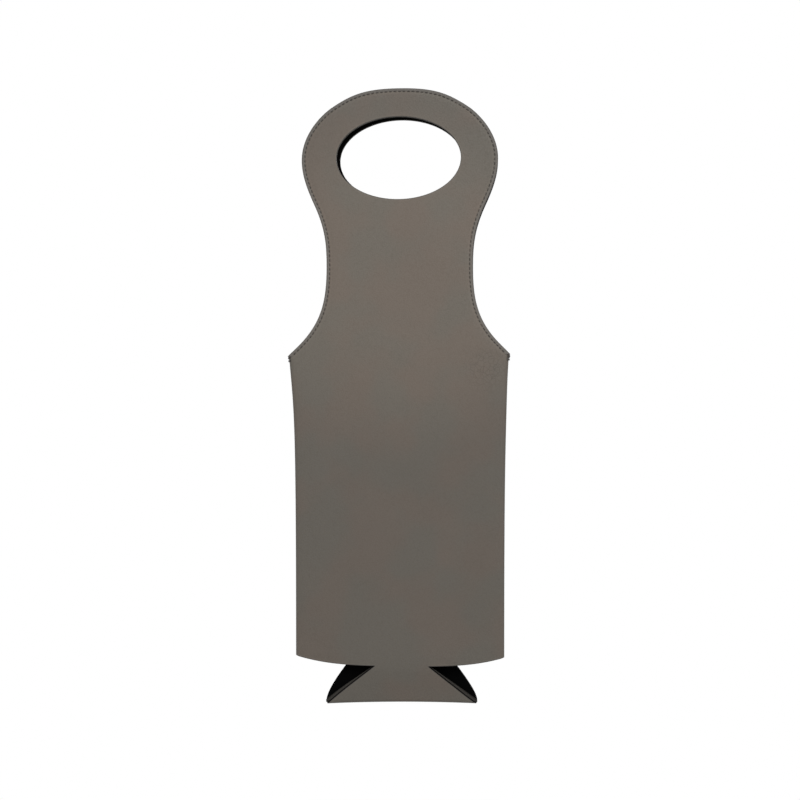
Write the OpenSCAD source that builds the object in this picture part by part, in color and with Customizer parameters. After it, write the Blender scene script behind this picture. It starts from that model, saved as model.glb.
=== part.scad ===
// Flat-folding bottle carrier of leatherette laminated on foam.
// One sheet is cut to a front panel, a base strap and a back panel, folded at the base and sewn up
// both sides. Each panel runs on above the shoulders as a handle flap with an oval hand hole.
// X is the width, Y the depth with the front at -Y, and Z is up. The origin is the centre of the
// hand hole, midway between the two flaps.

/* [Sheet] */
// Thickness of the leatherette skin
skin_t = 0.8; // [0.6:0.1:1.2]
// Thickness of the foam lining behind the skin
foam_t = 2.4; // [1.6:0.1:3.6]

/* [Handle] */
// Greatest width of the handle flap
handle_w = 131; // [122:1:142]
// Height of the flap's top above the centre of the hand hole
handle_rise = 46.4; // [40:0.2:54]
// Drop from the centre of the hand hole to the widest place of the flap
wide_drop = 1; // [0:0.2:4]
// Width of the flap at its waist
waist_w = 97.6; // [90:0.2:106]
// Drop from the centre of the hand hole to the waist
waist_drop = 72.6; // [64:0.2:80]
// Width across the two shoulder points
shoulder_w = 148.4; // [146:0.2:156]
// Drop from the centre of the hand hole to the shoulders
shoulder_drop = 132.4; // [124:0.2:142]
// Slope of the outline at the shoulders, off vertical
shoulder_angle = 44; // [36:1:52]
// Width of the oval hand hole
hole_w = 83; // [70:1:90]
// Height of the oval hand hole
hole_h = 55; // [44:1:62]

/* [Pocket] */
// How far each shoulder point stands out past the top of the side seam
shoulder_overhang = 0.6; // [0:0.1:2]
// Width of the pocket below the flare
body_w = 139.2; // [134:0.2:141]
// Height of the pocket from the shoulders to the lowest place of its bottom edge
body_h = 206; // [180:1:240]
// Length over which the flare under the shoulders fades
flare_fade = 42; // [25:1:50]
// Rise of the bottom edge from its middle to its corners
bottom_sag = 6.6; // [3:0.2:10]
// Width of the seam allowance turned inside each side
allowance = 8; // [5:0.5:12]

/* [Base] */
// Width of the neck that joins the base strap to the front panel
front_neck_w = 36.4; // [28:0.2:46]
// Width of the neck that joins the base strap to the back panel
back_neck_w = 72.6; // [60:0.2:84]
// Width of the base strap's front half at the fold
front_fold_w = 96; // [88:0.2:99]
// Width of the base strap's back half just above the fold
back_fold_w = 101.2; // [100:0.2:108]
// Drop from the bottom edge of the pocket to the fold of the base strap
base_drop = 25.4; // [18:0.2:32]
// Width of the foam that shows past the skin at the straight cuts of the front half
foam_show = 1.7; // [0.5:0.1:2.5]

/* [Stitching] */
// Distance from the start of one stitch to the next
stitch_pitch = 3; // [2.6:0.1:4]
// Length of the thread that shows in each stitch
stitch_length = 1.9; // [1.2:0.1:2.2]
// Diameter of the thread
thread_d = 0.7; // [0.5:0.05:0.9]
// Distance from the cut edge of the flap to the row of stitches
stitch_inset = 2.1; // [1.5:0.1:3]
// Height of the bar tack at the top of each side seam
tack_h = 3.6; // [3:0.2:8]
// Thickness of the thread wrapped in a bar tack
tack_t = 0.8; // [0.5:0.1:1.2]

/* [Hidden] */

leatherette = [0.42, 0.39, 0.365];
foam = [0.05, 0.05, 0.052];
thread = [0.27, 0.25, 0.235];

sheet_t = skin_t + foam_t;
// Each panel and the allowance turned in behind it make two sheets, front and back.
half_depth = 2 * sheet_t;
// The sheet turns back on itself at the sides, with no room inside the turn.
turn_r = sheet_t;

shoulder_z = -shoulder_drop;
mouth_w = shoulder_w - 2 * shoulder_overhang;
bottom_z = shoulder_z - body_h;
seam_length = body_h - bottom_sag;
fold_z = bottom_z - base_drop;
hole_steps = 72;
curve_steps = 14;
turn_steps = 8;
side_steps = 10;
bottom_steps = 24;
fold_steps = 12;
// How full the curve of the bottom edge is towards its corners.
bottom_power = 3.3;
// Half the room inside the fold of the base strap.
fold_gap = 0.2;
// Room left between a thread and the skin that it lies on, and between the two skins of a seam.
seat = 0.02;
past = 1;

// Curves, as points of X and Z

// A smooth curve from a to b that leaves along dir_a and arrives along dir_b.
function curve(a, b, dir_a, dir_b, pull_a, pull_b, steps = curve_steps) =
    let (d = norm(b - a), p = a + dir_a * pull_a * d, q = b - dir_b * pull_b * d)
    [for (i = [0:steps]) let (t = i / steps, u = 1 - t)
        u * u * u * a + 3 * u * u * t * p + 3 * u * t * t * q + t * t * t * b];

function reversed(points) = [for (i = [len(points) - 1:-1:0]) points[i]];
function flipped(points) = [for (p = points) [-p[0], p[1]]];
function tail(points) = [for (i = [1:len(points) - 1]) points[i]];
function slope(angle) = [sin(angle), -cos(angle)];
function ellipse(w, h, steps) =
    [for (i = [0:steps - 1]) [w / 2 * cos(360 * i / steps), h / 2 * sin(360 * i / steps)]];

top_point = [0, handle_rise];
wide_point = [handle_w / 2, -wide_drop];
waist_point = [waist_w / 2, -waist_drop];
shoulder_point = [shoulder_w / 2, shoulder_z];
// The brow is where the flat crest of the grip turns down to its sides.
brow_point = [0.696 * wide_point[0], wide_point[1] + 0.732 * (top_point[1] - wide_point[1])];
brow_angle = 56;
// The flank is where the rounded grip turns into the hollow of the waist.
flank_point = waist_point + [0.49 * (wide_point[0] - waist_point[0]), 0.58 * (wide_point[1] - waist_point[1])];
flank_angle = -24.6;

// The right half of the flap's outline, from the top of the grip to the shoulder.
flap_side = concat(
    curve(top_point, brow_point, [1, 0], slope(brow_angle), 0.47, 0.35, 10),
    tail(curve(brow_point, wide_point, slope(brow_angle), [0, -1], 0.2, 0.43, 10)),
    tail(curve(wide_point, flank_point, [0, -1], slope(flank_angle), 0.32, 0.37)),
    tail(curve(flank_point, waist_point, slope(flank_angle), [0, -1], 0.43, 0.33)),
    tail(curve(waist_point, shoulder_point, [0, -1], slope(shoulder_angle), 0.48, 0.4))
);
flap_outline = concat(reversed(flipped(tail(flap_side))), flap_side);

// Half the width of the pocket at a height, with the flare that the handle leaves under the shoulders.
function side_x(z) = body_w / 2 + (mouth_w - body_w) / 2 * exp((z - shoulder_z) / flare_fade);

// Height of the pocket's bottom edge at a distance from the middle.
function edge_z(x) = bottom_z + bottom_sag * pow(min(1, abs(x) / (body_w / 2)), bottom_power);

// A place on the right side of the pocket, some way in from the seam, at a step down from the shoulder.
function side_point(inset, i) =
    let (z = shoulder_z + (edge_z(body_w / 2 - inset) - shoulder_z) * i / side_steps) [side_x(z) - inset, z];
function side_line(inset) = [for (i = [0:side_steps]) side_point(inset, i)];
function seam_x(z) = lookup(z, [for (p = reversed(side_line(0))) [p[1], p[0]]]);

// Flat shapes, as seen from the front

module flap_shape() {
    difference() {
        polygon(flap_outline);
        polygon(ellipse(hole_w, hole_h, hole_steps));
    }
}

// The panel between its two turned sides.
module panel_shape() {
    side = side_line(turn_r);
    low_x = side[side_steps][0];
    bottom = [for (i = [1:bottom_steps - 1]) let (x = low_x * (1 - 2 * i / bottom_steps)) [x, edge_z(x)]];
    polygon(concat(side, bottom, reversed(flipped(side))));
}

// The base strap's front half is cut straight from its neck to the ends of the fold.
module base_front_shape(show) {
    neck = [(front_neck_w + show) / 2, edge_z(front_neck_w / 2)];
    tip = [front_fold_w / 2 + show, fold_z + show];
    end = [front_fold_w / 2, fold_z];
    polygon(concat([neck, tip, end], flipped([end, tip, neck]), [[-neck[0], shoulder_z], [neck[0], shoulder_z]]));
}

// Its back half is wider, with round sides.
module base_back_shape() {
    neck = [back_neck_w / 2, edge_z(back_neck_w / 2)];
    tip = [back_fold_w / 2, fold_z + 2 * skin_t];
    end = [front_fold_w / 2, fold_z];
    side = concat(curve(neck, tip, [0.6, -0.8], [0, -1], 0.48, 0.18), [end]);
    polygon(concat(side, reversed(flipped(side)), [[-neck[0], shoulder_z], [neck[0], shoulder_z]]));
}

// Ways to make solids of them

// A flat shape, from one depth to another.
module plate(y0, y1) {
    translate([0, y1, 0]) rotate([90, 0, 0]) linear_extrude(y1 - y0) children();
}

module as_back() {
    mirror([0, 1, 0]) children();
}

module as_left() {
    mirror([1, 0, 0]) children();
}

module front_and_back() {
    children();
    as_back() children();
}

function quad(a, b, c, d) = [[a, b, c], [a, c, d]];

// A section carried down the right side of the pocket. Its points give the distance in from the seam,
// and the depth. The cap is the list of triangles that closes it at the top.
module swept_side(section, cap) {
    n = len(section);
    points = [for (level = [0:side_steps], s = section) let (p = side_point(s[0], level)) [p[0], s[1], p[1]]];
    walls = [for (level = [0:side_steps - 1], i = [0:n - 1]) let (j = (i + 1) % n, a = level * n, b = a + n)
        each quad(a + i, b + i, b + j, a + j)];
    low_cap = [for (t = cap) reversed(t) + side_steps * n * [1, 1, 1]];
    polyhedron(points, concat(walls, cap, low_cap));
}

// The pocket

module panel_skin() {
    color(leatherette) plate(-half_depth, -half_depth + skin_t) panel_shape();
}

module panel_foam() {
    color(foam) plate(-half_depth + skin_t, -sheet_t) panel_shape();
}

// A face of the sheet from the edge of the panel round the turn, and back along the allowance. It stops
// just short of the other panel's allowance, at the seam.
function turned(r) =
    let (arc = [for (i = [0:turn_steps]) let (a = 180 * i / turn_steps)
        [turn_r - r * sin(a), min(-turn_r - r * cos(a), -seat / 2)]])
    concat(arc, [[turn_r + allowance, arc[turn_steps][1]]]);

module side_skin() {
    outer = turned(turn_r);
    last = 2 * len(outer) - 1;
    color(leatherette) front_and_back() swept_side(
        concat(outer, reversed(turned(foam_t))),
        [for (i = [0:len(outer) - 2]) each quad(i, i + 1, last - i - 1, last - i)]
    );
}

module side_foam() {
    outer = turned(foam_t);
    middle = len(outer) + 1;
    color(foam) front_and_back() swept_side(
        concat(outer, [[turn_r + allowance, -turn_r], [turn_r, -turn_r]]),
        [for (i = [0:len(outer)]) [i, i + 1, middle]]
    );
}

// The thread of a side seam shows in the valley between the two turned sides.
module seam_stitching() {
    r = thread_d / 2 + seat;
    inset = turn_r - sqrt(pow(turn_r + r, 2) - pow(turn_r, 2));
    count = floor((seam_length - tack_h - stitch_pitch) / stitch_pitch);
    color(thread) for (i = [0:count - 1]) {
        z = shoulder_z - tack_h - (i + 1) * stitch_pitch;
        foot = [seam_x(z) - inset, z];
        d = [seam_x(z + stitch_length) - inset, z + stitch_length] - foot;
        translate([foot[0], 0, foot[1]]) rotate([0, atan2(d[0], d[1]), 0])
            cylinder(d = thread_d, h = norm(d), $fn = 16);
    }
}

// The two turned sides that meet at a seam, as seen from above, with thread laid round them.
module humps(t) {
    for (side = [-1, 1]) translate([-turn_r, side * turn_r]) circle(turn_r + t, $fn = 48);
    translate([-turn_r, -turn_r]) square([turn_r + t, 2 * turn_r]);
}

// The wraps of thread that tie the front and back together at the top of a side seam.
module bar_tack() {
    wraps = 4;
    pitch = tack_h / wraps;
    reach = 1.5 * turn_r;
    color(thread) for (i = [1:wraps]) {
        top_z = shoulder_z - seat - (i - 1) * pitch;
        translate([seam_x(top_z), 0, top_z - pitch]) linear_extrude(pitch) intersection() {
            difference() {
                humps(i % 2 == 0 ? tack_t : 0.7 * tack_t);
                humps(seat);
            }
            translate([-turn_r, -reach]) square([2 * turn_r, 2 * reach]);
        }
    }
}

// The handle flaps

module handle_skin() {
    color(leatherette) plate(-half_depth, -half_depth + skin_t) flap_shape();
}

module handle_foam() {
    color(foam) plate(-half_depth + skin_t, -sheet_t) flap_shape();
}

// The row of stitches follows the flap's outline, a little way in from its edge.
function inward(points, i) =
    let (d = points[min(len(points) - 1, i + 1)] - points[max(0, i - 1)])
    points[i] + stitch_inset / norm(d) * [d[1], -d[0]];
stitch_path = [for (i = [0:len(flap_outline) - 1]) inward(flap_outline, i)];
function running_sum(steps, i = 0, sum = 0) =
    i == len(steps) ? [sum] : concat([sum], running_sum(steps, i + 1, sum + steps[i]));
path_length = running_sum([for (i = [1:len(stitch_path) - 1]) norm(stitch_path[i] - stitch_path[i - 1])]);
function along(s) =
    [for (k = [0, 1]) lookup(s, [for (i = [0:len(stitch_path) - 1]) [path_length[i], stitch_path[i][k]]])];

// The thread of a stitch is round outside, and pulled flat on the sheet.
module stitch(from, to) {
    d = to - from;
    translate([from[0], -half_depth, from[1]]) rotate([0, atan2(d[0], d[1]), 0])
        linear_extrude(norm(d)) intersection() {
            circle(d = thread_d, $fn = 16);
            translate([-thread_d, -thread_d]) square([2 * thread_d, thread_d]);
        }
}

module edge_stitching() {
    total = path_length[len(path_length) - 1];
    count = floor((total - 2 * stitch_inset) / stitch_pitch);
    start = (total - count * stitch_pitch + stitch_pitch - stitch_length) / 2;
    color(thread) for (i = [0:count - 1]) {
        from = along(start + i * stitch_pitch);
        to = along(start + i * stitch_pitch + stitch_length);
        stitch(from, to);
        // The second thread shows on the lining.
        translate([0, -half_depth - sheet_t, 0]) mirror([0, 1, 0]) stitch(from, to);
    }
}

// The base strap

// A face of the folded strap, seen from the side, some way in from its outer face.
function fold_profile(inset) =
    let (
        r = sheet_t + fold_gap,
        centre = fold_z + r,
        lean = atan((half_depth - r) / (bottom_z - centre)),
        arc = [for (i = [0:fold_steps]) let (a = -lean + (180 + 2 * lean) * i / fold_steps)
            [(inset - r) * cos(a), centre - (r - inset) * sin(a)]],
        top = [for (z = [bottom_z + bottom_sag, bottom_z]) [-half_depth + inset, z]]
    ) concat(top, arc, reversed(flipped(top)));

// A layer of the folded strap between two depths of the sheet, cut to the shape of its two halves.
module base_layer(from, to, show = 0) {
    difference() {
        intersection() {
            translate([-back_fold_w / 2 - past, 0, 0]) rotate([90, 0, 90]) linear_extrude(back_fold_w + 2 * past)
                polygon(concat(fold_profile(from), reversed(fold_profile(to))));
            union() {
                plate(-half_depth - past, 0) base_front_shape(show);
                plate(0, half_depth + past) base_back_shape();
            }
        }
        plate(-half_depth - past, half_depth + past) panel_shape();
    }
}

module base_skin() {
    color(leatherette) base_layer(0, skin_t);
}

module base_foam() {
    color(foam) base_layer(skin_t, sheet_t, foam_show);
}

panel_skin();  // front_panel_skin
panel_foam();  // front_panel_foam
as_back() panel_skin();  // back_panel_skin
as_back() panel_foam();  // back_panel_foam
as_left() side_skin();  // left_side_skin
as_left() side_foam();  // left_side_foam
side_skin();  // right_side_skin
side_foam();  // right_side_foam
as_left() seam_stitching();  // left_seam_stitching
seam_stitching();  // right_seam_stitching
as_left() bar_tack();  // left_bar_tack
bar_tack();  // right_bar_tack
handle_skin();  // front_handle_skin
handle_foam();  // front_handle_foam
edge_stitching();  // front_edge_stitching
as_back() handle_skin();  // back_handle_skin
as_back() handle_foam();  // back_handle_foam
as_back() edge_stitching();  // back_edge_stitching
base_skin();
base_foam();
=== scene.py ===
# Bottle carrier: the looks of its leatherette, foam, cut edges, seams and threads.
# Lengths in the tables are in millimetres, as in the part's source, but where a note says metres.
import math

import bpy
import numpy as np
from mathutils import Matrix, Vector
from mathutils.geometry import delaunay_2d_cdt
from mathutils.kdtree import KDTree


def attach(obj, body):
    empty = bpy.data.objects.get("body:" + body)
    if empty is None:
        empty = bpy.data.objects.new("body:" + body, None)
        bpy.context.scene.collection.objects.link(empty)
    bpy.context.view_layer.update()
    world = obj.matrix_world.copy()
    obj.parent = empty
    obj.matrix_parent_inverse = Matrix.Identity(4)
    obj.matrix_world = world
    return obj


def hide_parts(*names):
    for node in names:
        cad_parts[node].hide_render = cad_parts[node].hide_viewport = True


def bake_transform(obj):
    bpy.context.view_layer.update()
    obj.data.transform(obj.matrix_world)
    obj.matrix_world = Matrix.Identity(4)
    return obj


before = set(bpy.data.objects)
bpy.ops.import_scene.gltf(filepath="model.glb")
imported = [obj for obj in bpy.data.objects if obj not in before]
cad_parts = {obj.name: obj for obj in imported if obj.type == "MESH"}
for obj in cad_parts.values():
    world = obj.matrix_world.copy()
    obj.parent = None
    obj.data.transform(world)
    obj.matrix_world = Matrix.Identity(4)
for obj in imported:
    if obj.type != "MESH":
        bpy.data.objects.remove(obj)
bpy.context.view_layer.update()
scene = bpy.context.scene
mm = 0.001

# the cut of the sheet
cut = {
    "skin": 0.8, "foam": 2.4,
    "handleWidth": 131, "handleRise": 46.4, "wideDrop": 1,
    "waistWidth": 97.6, "waistDrop": 72.6,
    "shoulderWidth": 148.4, "shoulderDrop": 132.4, "shoulderAngle": 44, "shoulderOverhang": 0.6,
    "holeWidth": 83, "holeHeight": 55,
    "bodyWidth": 139.2, "bodyHeight": 206, "flareFade": 42, "bottomSag": 6.6, "bottomPower": 3.3,
    "allowance": 8,
    # the strap's necks are cut a little to the right
    "frontNeck": 35.4, "frontShift": 1.35, "backNeck": 70.8, "backShift": 0.6,
}
# the curves of a flap's edge: its brow lies above the widest place, and its flank below
flap = {
    "brow": (0.696, 0.732), "browSlope": 56, "flank": (0.49, 0.58), "flankSlope": -24.6,
    "pulls": [(0.47, 0.35), (0.2, 0.43), (0.32, 0.37), (0.43, 0.33), (0.48, 0.4)],
    "spacing": 0.75,
}
sheetT = cut["skin"] + cut["foam"]
halfDepth = 2 * sheetT
shoulderZ = -cut["shoulderDrop"]
bottomZ = shoulderZ - cut["bodyHeight"]
halfBody = cut["bodyWidth"] / 2
frontNeck, backNeck = cut["frontNeck"] / 2, cut["backNeck"] / 2
hair = 0.02  # room between two layers that lie on each other
farOff = 40.0  # so far from an edge that nothing of it shows
chunk = 2000  # points that are worked on at a time


# curves in the plane of the sheet, as rows of x and z

def both(a, b):
    return np.concatenate([a, b])


def closed(line):
    return both(line, line[:1])


def bezier(a, b, dirA, dirB, pullA, pullB, steps=60):
    a, b, dirA, dirB = (np.array(v, float) for v in (a, b, dirA, dirB))
    span = np.linalg.norm(b - a)
    p, q = a + dirA * pullA * span, b - dirB * pullB * span
    t = np.linspace(0, 1, steps + 1)[:, None]
    u = 1 - t
    return u**3 * a + 3 * u * u * t * p + 3 * u * t * t * q + t**3 * b


def slope(angle):
    return math.sin(math.radians(angle)), -math.cos(math.radians(angle))


def runOf(line):
    # length along a line at each of its points
    return both([0], np.cumsum(np.linalg.norm(np.diff(line, axis=0), axis=1)))


def along(line, at):
    # the points at some lengths along a line
    run = runOf(line)
    return np.stack([np.interp(at, run, line[:, k]) for k in (0, 1)], 1)


def heading(line):
    d = np.gradient(line, axis=0)
    return d / np.linalg.norm(d, axis=1)[:, None]


def inward(line, by):
    # the line moved to its right-hand side
    d = heading(line)
    return line + by * np.stack([d[:, 1], -d[:, 0]], 1)


def smooth(value, low=0.0, high=1.0):
    t = np.clip((value - low) / (high - low), 0, 1)
    return t * t * (3 - 2 * t)


def sideX(z):
    mouth = cut["shoulderWidth"] / 2 - cut["shoulderOverhang"]
    return halfBody + (mouth - halfBody) * np.exp((z - shoulderZ) / cut["flareFade"])


def edgeZ(x):
    return bottomZ + cut["bottomSag"] * np.minimum(1, np.abs(x) / halfBody) ** cut["bottomPower"]


def flapOutline():
    top = np.array([0, cut["handleRise"]])
    wide = np.array([cut["handleWidth"] / 2, -cut["wideDrop"]])
    waist = np.array([cut["waistWidth"] / 2, -cut["waistDrop"]])
    shoulder = np.array([cut["shoulderWidth"] / 2, shoulderZ])
    brow = np.array([flap["brow"][0] * wide[0], wide[1] + flap["brow"][1] * (top[1] - wide[1])])
    flank = waist + np.array(flap["flank"]) * (wide - waist)
    down = (0, -1)
    stops = [
        (top, (1, 0)), (brow, slope(flap["browSlope"])), (wide, down),
        (flank, slope(flap["flankSlope"])), (waist, down), (shoulder, slope(cut["shoulderAngle"])),
    ]
    right = top[None, :]
    for (a, dirA), (b, dirB), pull in zip(stops, stops[1:], flap["pulls"]):
        right = both(right, bezier(a, b, dirA, dirB, *pull)[1:])
    whole = both((right * (-1, 1))[:0:-1], right)
    count = 2 * round(runOf(right)[-1] / flap["spacing"]) + 1
    return along(whole, np.linspace(0, runOf(whole)[-1], count))


def holeLine(out, count):
    a = np.linspace(0, 2 * math.pi, count, endpoint=False)
    width, height = cut["holeWidth"] + 2 * out, cut["holeHeight"] + 2 * out
    return np.stack([width / 2 * np.cos(a), height / 2 * np.sin(a)], 1)


def nearest(points, line):
    # distance of each point to a line, and the length along the line of the nearest place
    a, d = line[:-1], np.diff(line, axis=0)
    run, size = runOf(line), (d**2).sum(1)
    far, where = np.empty(len(points)), np.empty(len(points))
    for i in range(0, len(points), chunk):
        p = points[i:i + chunk, None]
        t = np.clip(((p - a) * d).sum(2) / size, 0, 1)
        gap = np.linalg.norm(p - a - t[..., None] * d, axis=2)
        k = gap.argmin(1)
        rows = np.arange(len(k))
        far[i:i + chunk] = gap[rows, k]
        where[i:i + chunk] = run[k] + t[rows, k] * np.sqrt(size[k])
    return far, where


def within(points, loop):
    # whether each point is inside a closed line: a level ray from it then crosses that an odd
    # number of times
    a, b = loop, np.roll(loop, -1, 0)
    rise = np.where(b[:, 1] == a[:, 1], 1e-9, b[:, 1] - a[:, 1])
    found = np.empty(len(points), bool)
    for i in range(0, len(points), chunk):
        x, z = points[i:i + chunk, 0:1], points[i:i + chunk, 1:2]
        crosses = (a[:, 1] > z) != (b[:, 1] > z)
        ahead = x < a[:, 0] + (z - a[:, 1]) * (b[:, 0] - a[:, 0]) / rise
        found[i:i + chunk] = (crosses & ahead).sum(1) % 2 == 1
    return found


def treeOf(points):
    # for finding the nearest of some points in the plane of the sheet
    tree = KDTree(len(points))
    for i, p in enumerate(points):
        tree.insert((*p, 0), i)
    tree.balance()
    return tree


# nodes: sums of sockets, and one way to make any other node

def operator(name, turned=False):
    def apply(wire, other):
        return wire.graph.maths(name, *((other, wire) if turned else (wire, other)))
    return apply


class Wire:
    def __init__(self, graph, socket):
        self.graph, self.socket = graph, socket

    def out(self, name):
        return Wire(self.graph, self.socket.node.outputs[name])

    __add__ = __radd__ = operator("ADD")
    __mul__ = __rmul__ = operator("MULTIPLY")
    __sub__, __rsub__ = operator("SUBTRACT"), operator("SUBTRACT", turned=True)
    __truediv__ = operator("DIVIDE")


class Graph:
    def __init__(self, tree):
        self.tree = tree
        tree.nodes.clear()

    def make(self, kind, sockets=None, out=0, **settings):
        node = self.tree.nodes.new(kind)
        for name, value in settings.items():
            setattr(node, name, value)
        for name, value in (sockets or {}).items():
            socket = node.inputs[name]
            if isinstance(value, Wire):
                self.tree.links.new(value.socket, socket)
            else:
                socket.default_value = (*value[:3], 1) if socket.type == "RGBA" else value
        return Wire(self, node.outputs[out]) if len(node.outputs) else node

    def maths(self, operation, *values):
        return self.make("ShaderNodeMath", dict(enumerate(values)), operation=operation)

    def vector(self, operation, *values, out=0):
        return self.make("ShaderNodeVectorMath", dict(enumerate(values)), out, operation=operation)

    def step(self, value, low, high, start=0.0, end=1.0):
        sockets = {"Value": value, "From Min": low, "From Max": high, "To Min": start, "To Max": end}
        return self.make("ShaderNodeMapRange", sockets, interpolation_type="SMOOTHSTEP")

    def blend(self, share, a, b):
        # colours a and b; the sockets of a Mix node go by number, because its names repeat
        return self.make("ShaderNodeMix", {0: share, 6: a, 7: b}, out=2, data_type="RGBA")

    def tint(self, colour, by):
        return self.make("ShaderNodeVectorMath", {0: colour, "Scale": by}, operation="SCALE")

    def mark(self, name, kind="Fac"):
        return self.make("ShaderNodeAttribute", out=kind, attribute_name=name)

    def place(self):
        return self.make("ShaderNodeTexCoord", out="Object")

    def noise(self, where, size, detail=2.0, rough=0.5):
        # size is that of its largest lumps
        sockets = {"Vector": where, "Scale": 1 / (size * mm), "Detail": detail, "Roughness": rough}
        return self.make("ShaderNodeTexNoise", sockets)

    def cells(self, where, size, feature="F1", **sockets):
        sockets = {"Vector": where, "Scale": 1 / (size * mm), **sockets}
        return self.make("ShaderNodeTexVoronoi", sockets, feature=feature)

    def bump(self, height, depth, strength, normal=None):
        sockets = {"Height": height, "Distance": depth * mm, "Strength": strength}
        return self.make("ShaderNodeBump", sockets | ({"Normal": normal} if normal else {}))

    def chance(self, low, high, seed):
        sockets = {2: low, 3: high, "Seed": seed}
        return self.make("FunctionNodeRandomValue", sockets, out=1, data_type="FLOAT")

    def point(self, **sockets):
        return self.make("ShaderNodeCombineXYZ", sockets)


def finish(graph, sockets):
    shader = graph.make("ShaderNodeBsdfPrincipled", sockets)
    graph.make("ShaderNodeOutputMaterial", {"Surface": shader})


def newMaterial(name):
    made = bpy.data.materials.new(name)
    made.use_nodes = True
    return made, Graph(made.node_tree)


def newTree(name, **sockets):
    tree = bpy.data.node_groups.new(name, "GeometryNodeTree")
    tree.is_modifier = True
    tree.interface.new_socket("Geometry", in_out="OUTPUT", socket_type="NodeSocketGeometry")
    for label, kind in sockets.items():
        tree.interface.new_socket(label, in_out="INPUT", socket_type="NodeSocket" + kind)
    graph = Graph(tree)
    given = graph.make("NodeGroupInput")
    return tree, graph, {label: given.out(label) for label in sockets}


# materials

leatherLook = {
    "face": (0.152, 0.127, 0.105), "cool": (0.143, 0.129, 0.1085), "band": (0.149, 0.137, 0.122),
    "outline": (0.068, 0.062, 0.056), "backing": (0.012, 0.0115, 0.011),
    "roughness": (0.53, 0.72), "specular": 0.38, "sheen": 0.04,
    # noises: size of the largest lumps, levels of detail and roughness
    "cloud": (55, 3, 0.55), "patch": (9, 3, 0.6), "drift": (2.4, 2, 0.5), "fine": (0.5, 2, 0.6),
    "tint": (38, 2, 0.5),
    # how much cloud, patch and drift change the colour, how much the grain darkens it, and the painted shade
    # in its creases
    "shades": (0.1, 0.06, 0.03), "grainShade": 0.07, "creaseShade": 0.02,
    "grainSize": 0.85, "grainBend": 0.5, "creaseSize": 3.1, "creaseWidth": 0.12,
    # how deep the grain and the patches are, and what makes up the grain's height
    "grainDepth": 0.05, "patchDepth": 0.12,
    "grainHeight": 0.7, "fineHeight": 0.35, "creaseHeight": 0.12,
    # a pebbly place by the right shoulder, where the sheet has been handled
    "handledAt": (57, -6.4, -140), "handledReach": (4, 19), "handledShade": 0.16, "handledHeight": 0.5,
    # painted highlights on the ridge inside the stitches and beside the cut rims, the band outside the
    # stitches, the cut edge, and painted shade where the sheet turns in to the seam
    "ridge": 0.085, "ridgeAt": 3.2, "ridgeReach": 0.55, "rimHighlightAt": 0.8, "rimHighlightReach": 0.3,
    "bandWidth": 2.0, "outlineWidth": 0.34, "turnReach": (0.2, 0.42), "turnShade": 0.24,
}


def leatherMaterial():
    look = leatherLook
    made, g = newMaterial("leatherette")
    here = g.place()
    hem, rim = g.mark("hem"), g.mark("rim")
    cloud = g.noise(here, *look["cloud"])
    patch = g.noise(here, *look["patch"])
    drift = g.noise(here, *look["drift"])
    # pebbles of the embossed grain, bent a little so that no row of them shows
    bent = g.vector("MULTIPLY_ADD", drift.out("Color"), (look["grainBend"] * mm,) * 3, here)
    pebble = g.cells(bent, look["grainSize"], "SMOOTH_F1", Smoothness=0.35)
    fine = g.noise(here, *look["fine"])
    crease = g.step(g.cells(bent, look["creaseSize"], "DISTANCE_TO_EDGE"), 0.0, look["creaseWidth"], 1.0, 0.0)
    spot = tuple(v * mm for v in look["handledAt"])
    away = g.vector("DISTANCE", here, spot, out="Value")
    handled = g.step(away, *(v * mm for v in look["handledReach"]), 1.0, 0.0)
    shade = 1
    for noise, by in zip((cloud, patch, drift), look["shades"]):
        shade = shade + (noise - 0.5) * by
    shade = shade * (1 - pebble * look["grainShade"])
    # painted shade in the creases, deepest in the handled place
    paintedCreaseShade = crease * (look["creaseShade"] + look["handledShade"] * handled)
    shade = shade * (1 + look["creaseShade"] - paintedCreaseShade)
    # the face drifts between a warm and a cool grey, has a painted highlight on the ridge inside the stitches
    # and round the hole, and painted shade where it turns in to the seam
    coolness = g.step(g.noise(here, *look["tint"]), 0.38, 0.62)
    colour = g.blend(coolness, look["face"], look["cool"])
    inStitches = (hem - look["ridgeAt"]) / look["ridgeReach"]
    byHole = (rim - look["rimHighlightAt"]) / look["rimHighlightReach"]
    # painted highlight: the colour is made paler on the ridge inside the stitches and along the cut rims
    paintedHighlight = g.maths("POWER", 0.5, inStitches * inStitches) + g.maths("POWER", 0.5, byHole * byHole)
    # painted shade: the colour is darker where the sheet turns in to the seam and under the strap's fold
    paintedTurnShade = g.step(g.mark("turn"), *look["turnReach"], 0.0, look["turnShade"])
    colour = g.tint(colour, (shade + look["ridge"] * paintedHighlight) * (1 - paintedTurnShade))
    # the band outside the stitches is rubbed and greyer, and the cut itself darker still
    band = g.step(hem + (patch - 0.5) * 0.5, look["bandWidth"] - 0.25, look["bandWidth"] + 0.3, 1.0, 0.0)
    colour = g.blend(band, colour, g.tint(look["band"], shade))
    width = look["outlineWidth"]
    cutEdge = g.step(rim + (drift - 0.5) * 0.1, width * 0.4, width * 1.8, 1.0, 0.0)
    colour = g.blend(cutEdge, colour, look["outline"])
    colour = g.blend(g.step(g.mark("layer"), 0.1, 0.2), colour, look["backing"])
    height = (1 - pebble) * look["grainHeight"] + fine * look["fineHeight"]
    height = height + (1 - crease) * (look["creaseHeight"] + look["handledHeight"] * handled)
    grained = g.bump(height, look["grainDepth"], 0.9)
    finish(g, {
        "Base Color": colour, "Roughness": g.step(pebble + (patch - 0.5) * 0.4, 0.0, 1.0, *look["roughness"]),
        "Normal": g.bump(patch, look["patchDepth"], 0.5, grained),
        "Specular IOR Level": look["specular"], "Sheen Weight": look["sheen"],
    })
    return made


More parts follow.
